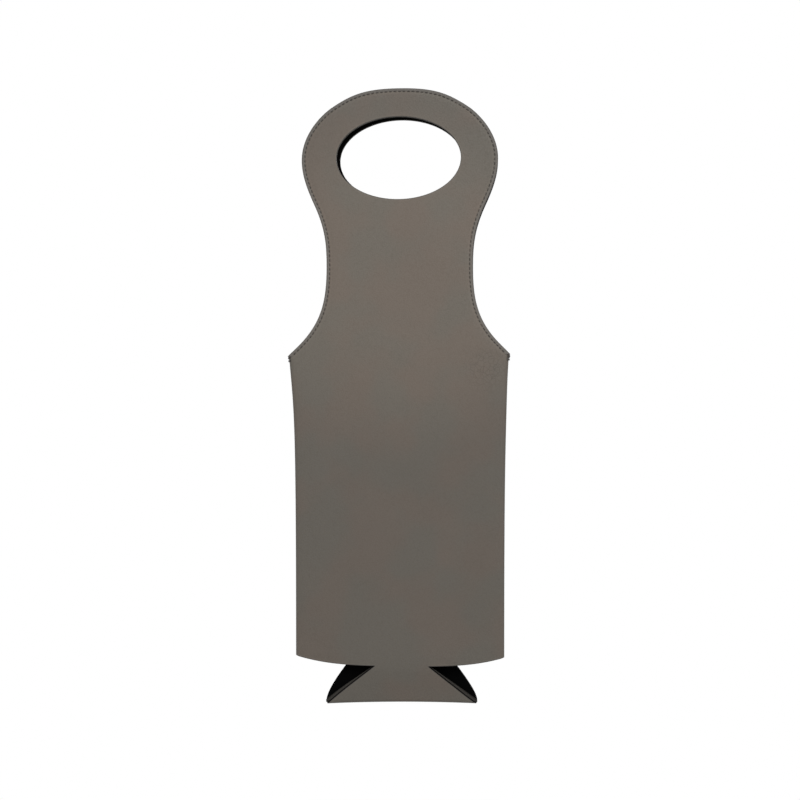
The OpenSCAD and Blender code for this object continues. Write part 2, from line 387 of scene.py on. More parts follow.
foamLook = {
    "lining": (0.0016, 0.0016, 0.0017), "cutFace": (0.066, 0.061, 0.055),
    # painted shadow: the cut face of the base strap's foam is painted dark beside the skin and
    # again at its far edge
    "skinShadow": 0.1, "skinReach": (0.85, 1.45), "farShadow": 0.25, "farReach": (-2.1, -0.3),
    "knitSize": 0.9, "poreSize": 0.45, "dust": (6, 3, 0.6), "depth": 0.12,
    "roughness": (0.86, 0.98), "specular": 0.05,
}


def foamMaterial():
    look = foamLook
    made, g = newMaterial("foamLining")
    here = g.place()
    holes = g.step(g.cells(here, look["poreSize"], "F1"), 0.12, 0.5, 0.45, 1.0)
    dust = g.noise(here, *look["dust"])
    knit = g.cells(here, look["knitSize"], "SMOOTH_F1", Smoothness=0.5, Randomness=0.35)
    cutShare = g.step(g.mark("layer"), 0.9, 0.985, 1.0, 0.0)
    bySkin = g.mark("bySkin")
    # painted shadow beside the skin and at the far edge of the cut face
    paintedShadow = g.step(bySkin, *look["skinReach"], 1.0, look["skinShadow"])
    paintedShadow = paintedShadow * g.step(bySkin, *look["farReach"], look["farShadow"], 1.0)
    knitted = g.tint(look["lining"], 0.7 + dust * 0.6)
    cutThrough = g.tint(look["cutFace"], holes * (0.8 + dust * 0.4) * paintedShadow)
    height = knit * (1 - cutShare) * 0.6 + holes * cutShare
    finish(g, {
        "Base Color": g.blend(cutShare, knitted, cutThrough),
        "Roughness": g.step(dust, 0.2, 0.8, *look["roughness"]),
        "Normal": g.bump(height, look["depth"], 0.8), "Specular IOR Level": look["specular"],
    })
    return made


threadLook = {
    "strand": (0.06, 0.052, 0.046), "worn": (0.15, 0.115, 0.1), "wear": 0.55,
    "rubbed": (5, 2, 0.6), "fuzz": (0.25, 2, 0.7),
    "turnLength": 0.95, "depth": 0.1, "roughness": (0.62, 0.82), "specular": 0.35, "sheen": 0.15,
}


def threadMaterial():
    look = threadLook
    made, g = newMaterial("thread")
    here = g.place()
    # two plies wind round the thread
    side = g.make("ShaderNodeSeparateXYZ", {0: g.mark("threadSide", "Vector")})
    turn = 2 * g.maths("ARCTAN2", side.out("Y"), side)
    turn = turn + g.mark("threadRun") * (2 * math.pi / (look["turnLength"] * mm))
    ply = 0.5 + 0.5 * g.maths("SINE", turn)
    fuzz = g.noise(here, *look["fuzz"])
    rubbed = g.step(g.noise(here, *look["rubbed"]), 0.52, 0.72)
    strand, worn = g.tint(look["strand"], 0.62 + 0.55 * ply), g.tint(look["worn"], 0.6 + 0.6 * fuzz)
    finish(g, {
        "Base Color": g.blend(rubbed * look["wear"], strand, worn),
        "Roughness": g.step(fuzz, 0.2, 0.8, *look["roughness"]),
        "Normal": g.bump(ply + fuzz * 0.3, look["depth"], 0.8),
        "Specular IOR Level": look["specular"], "Sheen Weight": look["sheen"],
    })
    return made


leather, foam, thread = leatherMaterial(), foamMaterial(), threadMaterial()
print("materials made")


# the sheet's plane: one net of triangles for the flap and the panel, finer towards every cut edge

net = {
    "spacing": 2.2, "rowSpacing": 0.866, "halfWidth": 80, "levels": 134, "bottomSpacing": 1.5,
    "holePoints": 288,
    # rows of points along an edge: how far in, up to where they are dense, and how far apart they keep
    "hemRows": [0.12, 0.35, 0.7, 1.1, 1.5, 1.8, 2.1, 2.4, 2.75, 3.2, 3.9, 5.0, 6.6, 8.4], "hemDense": 4,
    "rimRows": [0.12, 0.35, 0.8, 1.7, 3.2], "rimDense": 2, "rowShare": 0.93, "rowGap": 0.09,
    # how far the plain net stays from the stitched edge, the hole, the bottom edge and each side
    "clear": (9.6, 4.6, 4.6, 1.3, 1.3),
}
stitch = {
    "pitch": 3, "length": 1.9, "thread": 0.7, "inset": 2.1, "overlap": 0.35, "rise": 0.16, "sink": 0.3,
    "slant": 5, "slantSpread": 0.5, "sizes": (0.94, 1.05), "bowSteps": 7, "sides": 8, "seed": 7,
}

outline = flapOutline()
hole = holeLine(0, net["holePoints"])
stitchLine = inward(outline, stitch["inset"])
rowLength = runOf(stitchLine)[-1]
stitchCount = math.floor((rowLength - 2 * stitch["inset"]) / stitch["pitch"])
# middle of the first stitch
firstStitch = (rowLength - stitchCount * stitch["pitch"] + stitch["pitch"]) / 2


def sidePoint(inset, share):
    z = shoulderZ + (edgeZ(halfBody - inset) - shoulderZ) * share
    return sideX(z) - inset, z


def edgeRowsOf(lowLine):
    # lines along every edge, each with its distance from the edge
    rows = [(inward(outline, d)[::1 if d < net["hemDense"] else 2], d) for d in net["hemRows"]]
    for d in net["rimRows"]:
        rows.append((closed(holeLine(d, net["holePoints"] // (1 if d < net["rimDense"] else 2))), d))
    return rows + [(lowLine + (0, d), d) for d in net["rimRows"]]


def plainNet(ring, side, lowLine):
    # evenly spaced points wherever no edge is near
    step = net["spacing"]
    level = np.arange(bottomZ, cut["handleRise"], step * net["rowSpacing"])
    stations = np.arange(-net["halfWidth"], net["halfWidth"], step)
    grid = np.array([(x + (i % 2) * step / 2, z) for i, z in enumerate(level) for x in stations])
    grid = grid[within(grid, ring) & ~within(grid, hole)]
    for line, clear in zip((outline, closed(hole), lowLine, side, side * (-1, 1)), net["clear"]):
        grid = grid[nearest(grid, line)[0] > clear]
    return grid


def makeNet():
    side = np.stack(sidePoint(sheetT, np.linspace(0, 1, net["levels"] + 1)), 1)
    low = side[-1, 0]
    x = np.linspace(low, -low, 2 * round(low / net["bottomSpacing"]) + 1)[1:-1]
    bottom = np.stack([x, edgeZ(x)], 1)
    lowLine = np.concatenate([[(low, side[-1, 1])], bottom, [(-low, side[-1, 1])]])
    ring = np.concatenate([outline, side, bottom, (side * (-1, 1))[::-1]])
    points, edges = [], []

    def add(line, loop):
        start = sum(map(len, points))
        points.append(line)
        edges.extend((start + i, start + i + 1) for i in range(len(line) - 1))
        if loop:
            edges.append((start + len(line) - 1, start))

    add(ring, True)
    add(hole, True)
    kept = []
    for line, d in edgeRowsOf(lowLine):
        clear = np.minimum(nearest(line, closed(ring))[0], nearest(line, closed(hole))[0])
        keep = within(line, ring) & (clear > net["rowShare"] * d)
        if kept:  # rows from two edges don't cross
            tree = treeOf(np.concatenate(kept))
            keep &= np.array([tree.find((*p, 0))[2] > net["rowGap"] for p in line])
        for part in np.split(np.arange(len(line)), np.flatnonzero(~keep)):
            part = part[keep[part]]
            if len(part) > 1:
                add(line[part], False)
        kept.append(line[keep])
    points.append(plainNet(ring, side, lowLine))
    given = [Vector(p) for p in np.concatenate(points)]
    found, _, faces, *_ = delaunay_2d_cdt(given, edges, [], 0, 1e-4, False)
    found, faces = np.array([tuple(p) for p in found]), np.array(faces)
    middle = found[faces].mean(1)
    a, b, c = (found[faces[:, k]] for k in range(3))
    area = ((b - a)[:, 0] * (c - a)[:, 1] - (b - a)[:, 1] * (c - a)[:, 0]) / 2
    faces[area < 0] = faces[area < 0][:, ::-1]
    faces = faces[within(middle, ring) & ~within(middle, hole) & (abs(area) > 1e-5)]
    used, faces = np.unique(faces, return_inverse=True)
    return found[used], faces.reshape(-1, 3), lowLine


flat, triangles, lowLine = makeNet()
print("net of the sheet:", len(flat), "points,", len(triangles), "triangles")


# how thick the sheet is and how it lies, as distances from the middle plane

lie = {
    # the groove that the stitches draw in, deeper at each stitch, and their pull on the face inside it
    "grooveDepth": 0.24, "grooveWidth": 0.5, "grooveMean": 0.7, "grooveBeat": 0.3,
    "pull": 0.1, "pullReach": 1.1,
    # the band between the stitches and the edge, and the rounded edges
    "bandDrop": 0.2, "bandReach": 6.5, "edgeRound": 0.35, "edgeReach": 0.85, "cutRound": 0.08,
    "cutReach": 0.4, "liningPinch": 0.8, "liningRound": 0.3, "liningReach": 0.5, "leastFoam": 0.5,
    # the pocket's sag between its sides: its depth and how far it reaches from the sides, bottom and mouth
    "sag": 1.2, "sagInset": 10, "sagReach": 30, "sagFade": 45, "sagAbove": 12,
    # slight waves: their depth, where they fade, and their lengths and phases
    "wave": 0.3, "waveFree": 40, "waveSide": 16, "waveBottom": 25,
    "longWave": (23, 61, 1.3), "upWave": (31, 0.4), "crossWave": (37, 19, 2.1), "crossShare": 0.6,
    # each flap's hole is cut by hand, a little off centre
    "frontHole": (-0.65, 0), "backHole": (0.8, -0.35), "holeFade": 15,
}


def rounding(kind, far):
    return lie[kind + "Round"] * np.clip(1 - far / lie[kind + "Reach"], 0, 1) ** 2


def pinch(hem, run):
    # how far the stitches and the cut edge draw a face in
    phase = np.cos(2 * math.pi * (run - firstStitch) / stitch["pitch"])
    inside = hem - stitch["inset"]
    groove = lie["grooveDepth"] * np.exp(-(inside / lie["grooveWidth"]) ** 2)
    groove = groove * (lie["grooveMean"] + lie["grooveBeat"] * phase)
    pull = lie["pull"] * (phase + 1) / 2 * np.exp(-np.maximum(0, inside) / lie["pullReach"]) * (inside > 0)
    band = lie["bandDrop"] * (1 - smooth(hem, stitch["inset"], lie["bandReach"]))
    return groove + pull + band + rounding("edge", hem)


def settle(p):
    # the pocket sinks between its sewn sides, the flaps lie a little closer, and nothing is quite flat
    x, z = p[:, 0], p[:, 1]
    side = sideX(np.minimum(z, shoulderZ))
    fade = lie["sagFade"]
    inPocket = smooth(shoulderZ - z, -lie["sagAbove"], fade) * smooth(z - bottomZ, 0, fade)
    sag = lie["sag"] * smooth(side - lie["sagInset"] - abs(x), 0, lie["sagReach"]) * inPocket
    free = smooth(z - shoulderZ, 0, lie["waveFree"])
    bySide = smooth(side - sheetT - abs(x), 0, lie["waveSide"])
    hold = (bySide + (1 - bySide) * free) * smooth(z - bottomZ, 0, lie["waveBottom"])
    longX, longZ, longPhase = lie["longWave"]
    upZ, upPhase = lie["upWave"]
    crossX, crossZ, crossPhase = lie["crossWave"]
    wave = np.sin(x / longX + longPhase + z / longZ) * np.sin(z / upZ + upPhase)
    wave = wave + lie["crossShare"] * np.sin(x / crossX - z / crossZ + crossPhase)
    return sag + hold * (lie["wave"] * wave + lie["wave"])


def faceDepth(p, hem, run, rim):
    return halfDepth - settle(p) - pinch(hem, run) - rounding("cut", rim)


def liningDepth(p, hem, run, rim):
    return sheetT - settle(p) + lie["liningPinch"] * pinch(hem, run) + rounding("lining", rim)


def sheetMarks(neck, shift):
    # hem is the distance from the stitched edge, run the length along the stitches, and rim the
    # distance from the hole and from the bottom edge beside the strap's neck
    hem, _ = nearest(flat, outline)
    _, run = nearest(flat, stitchLine)
    x = lowLine[:, 0] - shift
    cuts = (closed(hole), lowLine[x > neck], lowLine[x < -neck])
    return hem, run, np.minimum.reduce([nearest(flat, line)[0] for line in cuts])


def newObject(name, data):
    made = bpy.data.objects.new(name, data)
    scene.collection.objects.link(made)
    return made


def piece(name, points, faces, marks, material, turned=False):
    # points in millimetres; turned faces are those of a mirrored copy
    if turned:
        faces = [tuple(f)[::-1] for f in faces]
    mesh = bpy.data.meshes.new(name)
    mesh.from_pydata((np.asarray(points) * mm).tolist(), [], [tuple(map(int, f)) for f in faces])
    for key, values in marks.items():
        mesh.attributes.new(key, "FLOAT", "POINT").data.foreach_set("value", np.asarray(values, np.float32))
    mesh.materials.append(material)
    mesh.shade_smooth()
    mesh.set_sharp_from_angle(angle=math.radians(42))
    made = newObject(name, mesh)
    print(name + ":", sum(len(f) - 2 for f in faces), "triangles")
    return made


def quads(ids):
    # faces between the rows and columns of a grid of point numbers
    return np.stack([ids[:-1, :-1], ids[1:, :-1], ids[1:, 1:], ids[:-1, 1:]], -1).reshape(-1, 4).tolist()


def shell(name, outer, inner, faces, marks, material, turned=False):
    # a closed skin: the faces, the same faces turned inside, and a wall along every open edge;
    # its layer is 0 outside and 1 inside, and its other marks are the same inside as outside
    n = len(outer)
    sides = {(f[i], f[(i + 1) % len(f)]) for f in faces for i in range(len(f))}
    inside = [[v + n for v in f[::-1]] for f in faces]
    walls = sorted((b, a, a + n, b + n) for a, b in sides if (b, a) not in sides)
    marks = {key: both(values, values) for key, values in marks.items()}
    marks["layer"] = both(np.zeros(n), np.ones(n))
    return piece(name, both(outer, inner), [*faces, *inside, *walls], marks, material, turned)


# the turned sides: reach is in shares of the allowance, and the seam's stitches pucker the turn

turned = {"steps": 15, "reach": (0.25, 0.625, 1), "pucker": 0.12, "puckerAt": 140, "puckerWidth": 30}


def turnedRing(r):
    # inset from the seam and distance from the middle plane, round the turn and back along the allowance
    a = np.linspace(0, math.pi, turned["steps"] + 1)
    inset = both(sheetT - r * np.sin(a), sheetT + np.array(turned["reach"]) * cut["allowance"])
    depth = sheetT + r * np.cos(a)
    return inset, np.maximum(both(depth, np.full(len(turned["reach"]), depth[-1])), hair / 2)


def sideStrip():
    # rows of points down the right side, for the outer and the inner face of the skin
    share = np.linspace(0, 1, net["levels"] + 1)
    made = []
    for r in (sheetT, cut["foam"]):
        inset, depth = turnedRing(r)
        x, z = sidePoint(inset[None, :], share[:, None])
        depth = np.repeat(depth[None, :], len(share), 0)
        if r == sheetT:  # each seam stitch draws the turn in a little
            a = both(np.linspace(0, 180, turned["steps"] + 1), np.full(len(turned["reach"]), 180))
            near = np.exp(-((a - turned["puckerAt"]) / turned["puckerWidth"]) ** 2)[None, :]
            draw = turned["pucker"] * near * (0.5 + 0.5 * np.cos(2 * math.pi * z / stitch["pitch"]))
            x = x - draw * np.sin(np.radians(a))
        made.append(np.stack([x, depth, z], 2))
    return made


def laidOut(front):
    # the net with the hole moved to where this flap has it
    far, _ = nearest(flat, closed(hole))
    share = 1 - smooth(far, 0, lie["holeFade"])
    return flat + share[:, None] * lie["frontHole" if front else "backHole"]


def leatherPiece(name, front, sheet):
    hem, run, rim = sheet
    laid = laidOut(front)
    outer = np.stack([laid[:, 0], faceDepth(flat, hem, run, rim), laid[:, 1]], 1)
    inner = outer - (0, cut["skin"], 0)
    faces = triangles.tolist()
    tree = treeOf(flat)
    outerStrip, innerStrip = sideStrip()
    rows, columns = outerStrip.shape[:2]
    for sign in (1, -1):
        ids = np.zeros((rows, columns), int)
        ids[:, 0] = [tree.find((sign * p[0], p[2], 0))[1] for p in outerStrip[:, 0]]
        ids[:, 1:] = len(outer) + np.arange(rows * (columns - 1)).reshape(rows, columns - 1)
        outer = both(outer, outerStrip[:, 1:].reshape(-1, 3) * (sign, 1, 1))
        inner = both(inner, innerStrip[:, 1:].reshape(-1, 3) * (sign, 1, 1))
        faces += [q[::sign] for q in quads(ids)]
    added = outer[len(flat):]
    ends = np.minimum(shoulderZ - added[:, 2], added[:, 2] - edgeZ(added[:, 0]))
    hem, rim = both(hem, np.full(len(added), farOff)), both(rim, np.maximum(ends, 0))
    # the turn mark also sets the painted shade where the sheet turns in to the seam
    turning = both(np.linspace(0, 1, turned["steps"] + 1)[1:], np.ones(len(turned["reach"])))
    turn = both(np.zeros(len(flat)), np.tile(turning, 2 * rows))
    marks = {"hem": hem, "rim": np.minimum(rim, hem), "turn": turn}
    way = (1, -1 if front else 1, 1)
    return shell(name, outer * way, inner * way, faces, marks, leather, turned=not front)


def liningPiece(name, front, sheet):
    outerY = faceDepth(flat, *sheet) - cut["skin"] - hair
    liningY = np.minimum(liningDepth(flat, *sheet), outerY - lie["leastFoam"])
    x, z = laidOut(front).T
    outer, inner = (np.stack([x, -y if front else y, z], 1) for y in (outerY, liningY))
    return shell(name, outer, inner, triangles.tolist(), {}, foam, turned=not front)


def turnedLining(name, sign):
    # the foam inside the turned side, front and back
    inset, depth = turnedRing(cut["foam"] - hair)
    inset = both(inset, [inset[-1], sheetT + cut["allowance"] / 2, sheetT])
    depth = both(depth, np.full(3, sheetT + hair))
    layer = both(np.zeros(len(inset) - 3), np.ones(3))
    share = np.linspace(0, 1, net["levels"] // 2 + 1)
    x, z = sidePoint(inset[None, :], share[:, None])
    n, rows = len(inset), len(share)
    one = np.stack([x * sign, -np.repeat(depth[None, :], rows, 0), z], 2).reshape(-1, 3)
    ids = np.arange(rows * n).reshape(rows, n)
    faces = quads(np.hstack([ids, ids[:, :1]]))
    last = (rows - 1) * n
    faces += [(j, j + 1, n - 1) for j in range(n - 2)]
    faces += [(last + j + 1, last + j, last + n - 1) for j in range(n - 2)]
    faces = [f[::sign] for f in faces]
    faces += [tuple(v + len(one) for v in f[::-1]) for f in faces]
    return piece(name, both(one, one * (1, -1, 1)), faces, {"layer": np.tile(layer, 2 * rows)}, foam)


frontSheet = sheetMarks(frontNeck, cut["frontShift"])
backSheet = sheetMarks(backNeck, cut["backShift"])
frontLeather = leatherPiece("frontLeatherette", True, frontSheet)
backLeather = leatherPiece("backLeatherette", False, backSheet)
frontLining = liningPiece("frontLining", True, frontSheet)
backLining = liningPiece("backLining", False, backSheet)
leftTurned = turnedLining("leftTurnedLining", -1)
rightTurned = turnedLining("rightTurnedLining", 1)


# the base strap: one sheet folded up into a V, its back half wider than its front half

strap = {
    "drop": 25.9, "foldGap": 0.2, "legPull": (0.3, 0.4), "shift": 1.1, "tilt": 0.0155, "foldRise": 1.1,
    # foldShow and tipShow are what shows of the foam at the fold and just above it, in shares of foamShow
    "frontFold": 99.8, "foamShow": 1.7, "foldShow": 0.9, "tipShow": 1.3,
    "backFold": 101.2, "sideLead": (0.6, -0.8), "sidePull": (0.48, 0.18),
    "foldShade": 1.8, "brightest": 2.2,
    "columns": 44, "crowding": 0.8, "legRows": 26, "foldRows": 18,
}
foldZ = bottomZ - strap["drop"]


def strapLine():
    # the outer face seen from the side, from the front panel down, round the fold and up to the back panel
    r = sheetT + strap["foldGap"]
    centre = foldZ + r
    lean = math.atan((halfDepth - r) / (bottomZ - centre))
    legEnd = (-r * math.cos(lean), centre - r * math.sin(lean))
    leg = bezier((-halfDepth, bottomZ), legEnd, (0, -1), (math.sin(lean), -math.cos(lean)), *strap["legPull"],
                 strap["legRows"])
    a = np.linspace(-lean, math.pi + lean, strap["foldRows"] + 1)[1:-1]
    arc = np.stack([-r * np.cos(a), centre - r * np.sin(a)], 1)
    arc = arc[(arc[:, 1] < leg[-1, 1]) | (arc[:, 0] > 0)]
    return np.concatenate([leg, arc, (leg * (-1, 1))[::-1]])


def strapFace(inset, show):
    # a layer of the strap at a depth in the sheet, and how far each of its points is from the strap's middle;
    # its front half has straight sides, past which the foam shows, and its back half has round ones
    line = strapLine()
    d = heading(line)
    d[0], d[-1] = (0, -1), (0, 1)
    at = line + inset * np.stack([-d[:, 1], d[:, 0]], 1)
    y, z = at[:, 0], at[:, 1]
    widest = strap["backFold"] / 2
    atTip = strap["frontFold"] / 2 + strap["tipShow"] * show
    atFold = strap["frontFold"] / 2 + strap["foldShow"] * show
    drops = [-edgeZ(frontNeck), -(foldZ + show) - 1e-6, -foldZ]
    front = np.minimum(np.interp(-z, drops, [frontNeck + show / 2, atTip, atFold]), widest)
    side = bezier((backNeck, edgeZ(backNeck)), (widest, foldZ + 2 * cut["skin"]), strap["sideLead"], (0, -1),
                  *strap["sidePull"])
    side = both(side, [(min(atFold, widest), foldZ)])
    back = np.interp(-z, -side[:, 1], side[:, 0])
    half = np.where(y < 0, front, back)[:, None]
    u = np.sin(np.linspace(-1, 1, strap["columns"] + 1) * math.pi / 2 * strap["crowding"])
    u = u / math.sin(math.pi / 2 * strap["crowding"])
    share = np.clip((z - foldZ) / strap["drop"], 0, 1)[:, None]
    neckShift = np.where(y < 0, cut["frontShift"], cut["backShift"])[:, None]
    x = half * u + strap["shift"] * (1 - share) + neckShift * share
    foldLift = strap["foldRise"] * (1 - u**2) + strap["tilt"] * x
    lift = (edgeZ(x) - bottomZ) * share**1.5 + foldLift * (1 - share) ** 4
    points = np.stack([x, np.repeat(y[:, None], len(u), 1), z[:, None] + lift], 2)
    return points, half * u


def strapPiece(name, near, far, show, material):
    outer, across = strapFace(near, show)
    inner, _ = strapFace(far, show)
    rows, columns = outer.shape[:2]
    n = rows * columns
    faces = quads(np.arange(n).reshape(rows, columns))
    # bySkin falls by 1 for each millimetre outside the skin, and is 0 where the cut foam is brightest
    skinHalf = strapFace(near, 0)[1][:, -1:]
    rim = (skinHalf - abs(across)).ravel()
    # painted shade: the fold is painted darker underneath, as the turned sides are
    below = foldZ + strap["foldShade"] - np.repeat(strapLine()[:, 1], columns)
    turn = leatherLook["turnReach"][1] * smooth(below, 0, strap["foldShade"])
    marks = {"hem": np.full(n, farOff), "rim": rim, "bySkin": rim + strap["brightest"], "turn": turn}
    return shell(name, outer.reshape(-1, 3), inner.reshape(-1, 3), faces, marks, material)


baseLeather = strapPiece("baseLeatherette", 0, cut["skin"], 0, leather)
baseLining = strapPiece("baseLining", cut["skin"] + hair, sheetT, strap["foamShow"], foam)


# threads: rows of stitches along a path, and wraps of thread over the top of each seam

seam = {
    "overlap": 0.3, "rise": 0.12, "sink": 0.22, "slant": 0,
    "tackHeight": 3.6, "tackWraps": 4, "tackThread": 0.72, "tackSides": 10,
    "tackAngles": (38, 50, 64, 78, 90), "tuck": 0.55, "bulge": 0.04, "loose": 0.16, "lean": 0.05, "seed": 3,
}


def storeMark(g, geometry, name, kind, value):
    sockets = {"Geometry": geometry, "Name": name, "Value": value}
    return g.make("GeometryNodeStoreNamedAttribute", sockets, data_type=kind, domain="POINT")


def threadTube(g, curve, thickness, sides):
    # a tube along a curve that knows each point's place round the thread and along it
    circle = {"Resolution": sides, "Radius": thickness * 0.5}
    ring = g.make("GeometryNodeCurvePrimitiveCircle", circle, mode="RADIUS")
    side = g.vector("NORMALIZE", g.make("GeometryNodeInputPosition"))
    ring = storeMark(g, ring, "threadSide", "FLOAT_VECTOR", side)
    curve = storeMark(g, curve, "threadRun", "FLOAT", g.make("GeometryNodeSplineParameter", out="Length"))
    return g.make("GeometryNodeCurveToMesh", {"Curve": curve, "Profile Curve": ring, "Fill Caps": True})


def layThreads(g, points, loop, turn, material, **more):
    # a loop of thread on every point, as the tree's result
    sockets = {"Points": points, "Instance": loop, "Rotation": turn, **more}
    laid = g.make("GeometryNodeInstanceOnPoints", sockets)
    laid = g.make("GeometryNodeRealizeInstances", {"Geometry": laid})
    laid = g.make("GeometryNodeSetMaterial", {"Geometry": laid, "Material": material})
    g.make("NodeGroupOutput", {"Geometry": laid})


def stitchTree():
    tree, g, given = newTree(
        "stitchRow", Path="Geometry", Stitches="Int", Length="Float", Thread="Float", Rise="Float",
        Sink="Float", Slant="Float", Seed="Int", Material="Material")
    half = given["Length"] * 0.5
    bow = g.make("GeometryNodeCurveQuadraticBezier", {
        "Resolution": stitch["bowSteps"],
        "Start": g.point(X=half * -1, Z=given["Sink"] * -1),
        "Middle": g.point(Z=given["Rise"] * 2 + given["Sink"]),
        "End": g.point(X=half, Z=given["Sink"] * -1),
    })
    loop = threadTube(g, bow, given["Thread"], stitch["sides"])
    path = g.make("GeometryNodeMeshToCurve", {"Mesh": given["Path"]})
    path = g.make("GeometryNodeResampleCurve", {"Curve": path, "Count": given["Stitches"]}, mode="COUNT")
    facing = g.make("GeometryNodeInputNamedAttribute", {"Name": "facing"}, data_type="FLOAT_VECTOR")
    turn = g.make("FunctionNodeAlignRotationToVector", {"Vector": facing}, axis="Z")
    sockets = {"Rotation": turn, "Vector": g.make("GeometryNodeInputTangent")}
    turn = g.make("FunctionNodeAlignRotationToVector", sockets, axis="X", pivot_axis="Z")
    angle = given["Slant"] * (1 + g.chance(-1.0, 1.0, given["Seed"]) * stitch["slantSpread"])
    lean = g.make("FunctionNodeAxisAngleToRotation", {"Axis": (0, 0, 1), "Angle": angle})
    turn = g.make("FunctionNodeRotateRotation", {"Rotation": turn, "Rotate By": lean}, rotation_space="LOCAL")
    size = g.chance(*stitch["sizes"], given["Seed"] + 1)
    layThreads(g, path, loop, turn, given["Material"], Scale=size)
    return tree


def wrapTree():
    tree, g, given = newTree(
        "threadWraps", Path="Geometry", Wraps="Int", Thread="Float", Step="Vector", Loose="Float",
        Seed="Int", Material="Material")
    path = g.make("GeometryNodeMeshToCurve", {"Mesh": given["Path"]})
    wrap = threadTube(g, path, given["Thread"], seam["tackSides"])
    sockets = {"Count": given["Wraps"], "Start Location": (0, 0, 0), "Offset": given["Step"]}
    line = g.make("GeometryNodeMeshLine", sockets, mode="OFFSET")
    most = seam["lean"]
    sockets = {0: (-most, -most, 0), 1: (most, most, 0), "Seed": given["Seed"]}
    lean = g.make("FunctionNodeRandomValue", sockets, data_type="FLOAT_VECTOR")
    turn = g.make("FunctionNodeEulerToRotation", {"Euler": lean})
    shift = g.chance(-1.0, 1.0, given["Seed"] + 1) * given["Loose"]
    line = g.make("GeometryNodeSetPosition", {"Geometry": line, "Offset": g.point(X=shift)})
    layThreads(g, line, wrap, turn, given["Material"])
    return tree


def grow(name, tree, values, lines):
    # lines are pairs of points and facings in millimetres; what the tree makes of them becomes a plain mesh
    path = bpy.data.meshes.new(name + "Path")
    points = np.concatenate([p for p, _ in lines])
    starts = np.cumsum([0] + [len(p) for p, _ in lines])
    edges = [(i, i + 1) for s, e in zip(starts, starts[1:]) for i in range(s, e - 1)]
    path.from_pydata((points * mm).tolist(), edges, [])
    facing = np.concatenate([np.broadcast_to(f, p.shape) for p, f in lines]).astype(np.float32)
    path.attributes.new("facing", "FLOAT_VECTOR", "POINT").data.foreach_set("vector", facing.ravel())
    made = newObject(name, path)
    modifier = made.modifiers.new("threads", "NODES")
    modifier.node_group = tree
    for socket in tree.interface.items_tree:
        if socket.in_out == "INPUT" and socket.name in values:
            modifier[socket.identifier] = values[socket.name]
    bpy.context.view_layer.update()
    mesh = bpy.data.meshes.new_from_object(made.evaluated_get(bpy.context.evaluated_depsgraph_get()))
    made.modifiers.remove(modifier)
    made.data = mesh
    mesh.name = name
    mesh.shade_smooth()
    mesh.set_sharp_from_angle(angle=math.radians(50))
    print(name + ":", sum(len(p.vertices) - 2 for p in mesh.polygons), "triangles")
    return made


def pointsOf(made):
    found = np.empty(3 * len(made.data.vertices), np.float32)
    made.data.vertices.foreach_get("co", found)
    return found.reshape(-1, 3)


def setPoints(made, points):
    made.data.vertices.foreach_set("co", points.ravel().astype(np.float32))
    made.data.update()


def rowValues(count, row, seed):
    return {
        "Stitches": count, "Length": (stitch["length"] + row["overlap"]) * mm,
        "Thread": stitch["thread"] * mm, "Rise": row["rise"] * mm, "Sink": row["sink"] * mm,
        "Slant": math.radians(row["slant"]), "Seed": seed, "Material": thread,
    }


def edgeRows(name, front, seed):
    # the row of stitches that follows a flap's edge, on its face and on its lining
    at = np.linspace(firstStitch, firstStitch + (stitchCount - 1) * stitch["pitch"], 3 * stitchCount)
    p = along(stitchLine, at)
    sheet = [np.full(len(p), v) for v in (stitch["inset"], firstStitch, farOff)]
    away = -1 if front else 1
    lines = [(np.stack([p[:, 0], away * depth(p, *sheet), p[:, 1]], 1), (0, facing, 0))
             for depth, facing in ((faceDepth, away), (liningDepth, -away))]
    return grow(name, rowTree, rowValues(stitchCount, stitch, seed), lines)


def seamRow(name, sign, seed):
    r = stitch["thread"] / 2 + hair
    inset = sheetT - math.sqrt((sheetT + r) ** 2 - sheetT**2)
    room = cut["bodyHeight"] - cut["bottomSag"] - seam["tackHeight"] - stitch["pitch"]
    count = math.floor(room / stitch["pitch"])
    z = shoulderZ - seam["tackHeight"] - (np.arange(count) + 1) * stitch["pitch"] + stitch["length"] / 2
    line = np.stack([sign * (sideX(z) - inset), np.zeros(count), z], 1)
    return grow(name, rowTree, rowValues(count, seam, seed), [(line, (sign, 0, 0))])


def barTack(name, sign, seed):
    r = sheetT + seam["tackThread"] / 2 + hair
    a = np.radians(seam["tackAngles"])
    rounded = np.stack([r * np.sin(a) - sheetT, -sheetT - r * np.cos(a)], 1)
    rounded[0] -= seam["tuck"] * np.array([np.sin(a[0]), -np.cos(a[0])])  # the end goes into the sheet
    over = [(r - sheetT + seam["bulge"] / 2, -sheetT / 2), (r - sheetT + seam["bulge"], 0)]
    half = both(rounded, over)
    line = both(half, (half * (1, -1))[-2::-1])
    path = np.stack([sign * line[:, 0], line[:, 1], np.zeros(len(line))], 1)
    top = shoulderZ - seam["tackThread"] / 2
    low = shoulderZ - seam["tackHeight"] + seam["tackThread"] / 2
    gaps = seam["tackWraps"] - 1
    step = (sign * (sideX(low) - sideX(top)) / gaps * mm, 0, (low - top) / gaps * mm)
    values = {
        "Wraps": seam["tackWraps"], "Thread": seam["tackThread"] * mm, "Step": step,
        "Loose": seam["loose"] * mm, "Seed": seed, "Material": thread,
    }
    # the wraps lean about the seam, so they are made round it and moved up to its top afterwards
    made = grow(name, tackTree, values, [(path, (sign, 0, 0))])
    setPoints(made, pointsOf(made) + np.array([sign * sideX(top), 0, top]) * mm)
    return made


